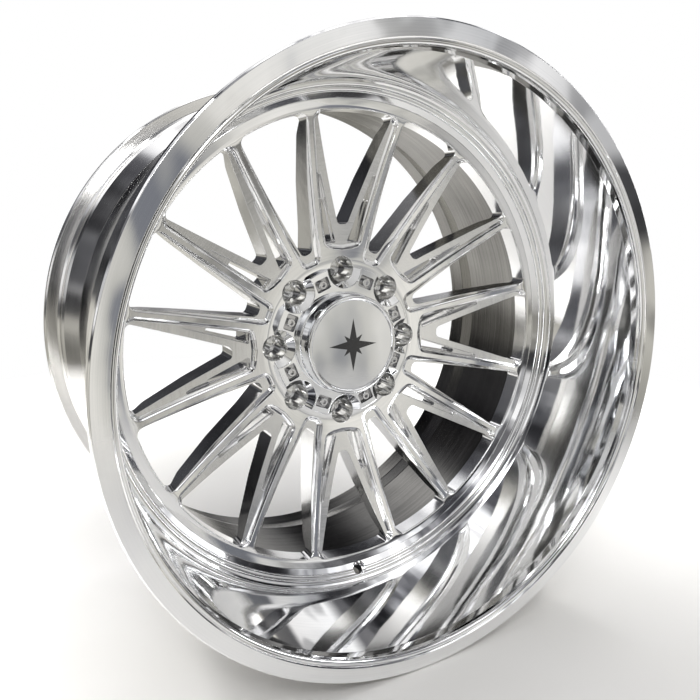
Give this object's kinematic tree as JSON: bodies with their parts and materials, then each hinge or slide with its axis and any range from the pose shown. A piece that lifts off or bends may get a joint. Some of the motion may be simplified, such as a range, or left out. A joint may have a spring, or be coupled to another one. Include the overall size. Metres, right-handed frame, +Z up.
{
  "type": "wheel rim",
  "caption": "Deep-lip polished forged wheel rim: dished centre with paired ridges, milled slots and stepped shoulder, welded two-piece barrel, and a lobed screw-on centre cap.",
  "frame": {"origin": "centre of the hub mounting face, on the axle", "axes": "+Y along the axle from the street face towards the vehicle; +Z up, with the valve hole at the foot; +X across"},
  "size_m": [0.6493, 0.381, 0.6494],
  "materials": {
    "polished_lip": "mirror polished",
    "turned_barrel": "turned and lightly polished",
    "polished_center": "mirror polished with milled bores",
    "weld_metal": "satin weld bead",
    "cap_chrome": "bright chrome",
    "cap_mirror": "mirror",
    "black_inlay": "gloss black",
    "seal_rubber": "matte",
    "screw_steel": "bright stainless",
    "insert_steel": "stainless wire"
  },
  "bodies": {
    "root": {"outer_barrel": "polished_lip", "inner_barrel": "turned_barrel", "forged_center": "polished_center", "center_weld": "weld_metal", "seam_weld": "weld_metal", "cap_body": "cap_chrome", "cap_bezel": "cap_chrome", "cap_face_plate": "cap_mirror", "cap_emblem": "black_inlay", "cap_o_ring": "seal_rubber", "cap_screws": "screw_steel", "thread_inserts": "insert_steel"}
  },
  "joints": []
}
